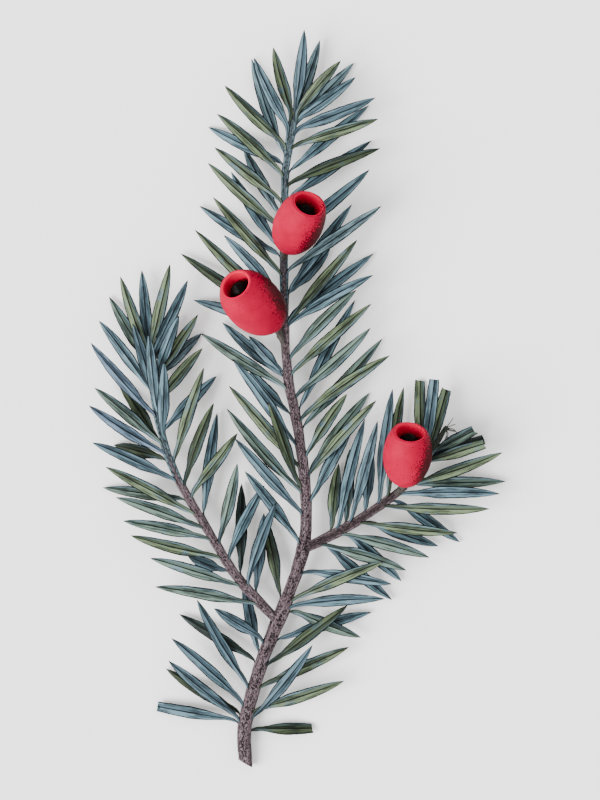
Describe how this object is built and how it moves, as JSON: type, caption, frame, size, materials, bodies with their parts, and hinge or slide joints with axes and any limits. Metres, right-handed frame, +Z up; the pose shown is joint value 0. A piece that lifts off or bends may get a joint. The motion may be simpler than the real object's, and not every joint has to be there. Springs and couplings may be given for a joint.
{
  "type": "cut english yew sprig",
  "caption": "Cut sprig of English yew lying flat: a curved stem with side branches, rows of flat pointed needles, and open red arils, each cupped round a dark seed.",
  "frame": {"origin": "on the flat surface that the sprig lies on, under the middle of its bounding box", "axes": "+Y from the cut end of the main stem towards its growing tip, +Z up off the surface, +X to the right of the stem when it is seen from above"},
  "size_m": [0.0834, 0.1476, 0.0213],
  "materials": {
    "bark": "thin ridged bark, mauve brown, matt",
    "stalk": "small overlapping scales, yellowish green to brown",
    "aril": "smooth fleshy skin, bright red with a soft sheen",
    "seed": "hard smooth coat, very dark brown",
    "needle": "leathery blade, olive to blue green, low sheen"
  },
  "bodies": {
    "root": {"main_stem": "bark", "left_branch": "bark", "right_branch": "bark", "stalk_top": "stalk", "stalk_middle": "stalk", "stalk_right": "stalk", "aril_top": "aril", "aril_middle": "aril", "aril_right": "aril", "seed_top": "seed", "seed_middle": "seed", "seed_right": "seed", "needles_main_low_left": "needle", "needles_main_low_right": "needle", "needles_main_mid_left": "needle", "needles_main_mid_right": "needle", "needles_main_high_left": "needle", "needles_main_high_right": "needle", "needles_main_tip": "needle", "needles_left_branch_outer": "needle", "needles_left_branch_inner": "needle", "needles_left_branch_crest": "needle", "needles_left_branch_tip": "needle", "needles_right_branch_upper": "needle", "needles_right_branch_lower": "needle", "needles_right_branch_tip": "needle"}
  },
  "joints": []
}
